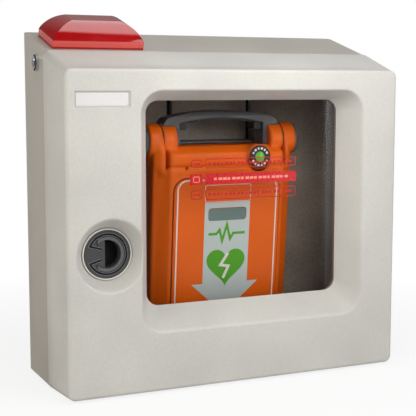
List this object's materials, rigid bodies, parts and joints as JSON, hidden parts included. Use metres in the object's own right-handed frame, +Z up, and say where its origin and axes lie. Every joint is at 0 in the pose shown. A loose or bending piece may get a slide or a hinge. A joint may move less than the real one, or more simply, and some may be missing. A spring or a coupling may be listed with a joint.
{
  "type": "defibrillator wall station",
  "caption": "Wall cabinet with sloping roof, alarm beacon and glazed door with a pull-ring latch, holding a portable defibrillator with hinged lid and handle.",
  "frame": {"origin": "centre of the four wall screws on the cabinet's back face", "axes": "+Z up, front and door face -Y, +Y into the wall, +X to the right seen from the front"},
  "size_m": [0.4501, 0.1668, 0.4389],
  "materials": {
    "cabinet_plastic": "fine-textured moulded plastic",
    "panel_grey": "grey textured paint",
    "steel": "zinc-plated",
    "chrome": "polished",
    "brass": "drawn",
    "black_plastic": "satin",
    "beacon_red": "clear moulded lens",
    "beacon_base_red": "moulded",
    "reflector_white": "gloss",
    "tube_glass": "clear",
    "board_green": "solder mask",
    "battery_dark": "satin",
    "gasket_rubber": "matt",
    "pane_clear": "clear acrylic",
    "magnet_dark": "satin",
    "case_grey": "fine texture",
    "case_orange": "satin moulded",
    "soft_dark": "matt",
    "indicator_green": "gloss",
    "window_smoke": "smoked",
    "pouch_foil": "printed film",
    "capacitor_sleeve": "shrink sleeve",
    "button_red": "gloss"
  },
  "bodies": {
    "cabinet": {"cabinet_shell": "cabinet_plastic", "front_frame": "cabinet_plastic", "back_panel": "panel_grey", "aed_cradle": "steel", "hinge_body_leaves": "steel", "hinge_pins": "steel", "strike_bracket": "steel", "key_switch_barrel": "chrome", "key_switch_nut": "chrome", "key_switch_contacts": "black_plastic", "beacon_base": "beacon_base_red", "beacon_lens": "beacon_red", "beacon_reflector": "reflector_white", "strobe_tube": "tube_glass", "alarm_case": "black_plastic", "alarm_board": "board_green", "alarm_battery": "battery_dark", "alarm_siren": "black_plastic", "reed_switch": "reflector_white"},
    "door": {"door_shell": "cabinet_plastic", "pane_gasket": "gasket_rubber", "window_pane": "pane_clear", "pane_retainer": "cabinet_plastic", "hinge_door_leaves": "steel", "door_magnet": "magnet_dark", "latch_housing": "black_plastic", "latch_nut": "black_plastic", "ring_pin": "steel", "bolt_spring": "steel"},
    "latch_ring": {"pull_ring": "black_plastic"},
    "bolt": {"latch_bolt": "brass"},
    "key": {"key_plug": "chrome"},
    "defibrillator": {"aed_rear_case": "case_grey", "aed_front_case": "case_orange", "aed_handle": "case_grey", "handle_grip": "soft_dark", "indicator_bezel": "black_plastic", "indicator_lens": "indicator_green", "side_bumpers": "soft_dark", "lid_hinge_pins": "steel", "control_deck": "case_grey", "display_module": "black_plastic", "electrode_pouch": "pouch_foil", "main_board": "board_green", "shock_capacitor": "capacitor_sleeve", "battery_pack": "battery_dark", "speaker": "black_plastic"},
    "lid": {"aed_lid": "case_orange", "lid_window": "window_smoke", "ear_caps": "case_grey"},
    "button": {"shock_button": "button_red"}
  },
  "joints": [
    {"name": "door_hinge", "type": "hinge", "parent": "cabinet", "child": "door", "pos_m": [0.224, -0.09515, 0], "axis": [0, 0, 1], "range_deg": [0, 120]},
    {"name": "ring_pull", "type": "hinge", "parent": "door", "child": "latch_ring", "pos_m": [-0.1721, -0.1469, -0.0375], "axis": [0, 0, -1], "range_deg": [0, 50], "stiffness_Nm_per_rad": 0.05},
    {"name": "bolt_slide", "type": "slide", "parent": "door", "child": "bolt", "axis": [1, 0, 0], "range_m": [0, 0.008], "deforming": ["bolt_spring"]},
    {"name": "key_turn", "type": "hinge", "parent": "cabinet", "child": "key", "pos_m": [-0.216, -0.061, 0.18], "axis": [1, 0, 0], "range_deg": [0, 90]},
    {"name": "aed_lift", "type": "slide", "parent": "cabinet", "child": "defibrillator", "axis": [0, 0, 1], "range_m": [0, 0.014]},
    {"name": "aed_lid_hinge", "type": "hinge", "parent": "defibrillator", "child": "lid", "pos_m": [0.0125, -0.0724, 0.0855], "axis": [-1, 0, 0], "range_deg": [0, 9]},
    {"name": "shock_button_press", "type": "slide", "parent": "defibrillator", "child": "button", "axis": [0, 1, 0], "range_m": [0, 0.002], "stiffness_N_per_m": 800}
  ],
  "couplings": [
    {"joint": "ring_pull", "follows": "bolt_slide", "rad_per_m": 108}
  ]
}
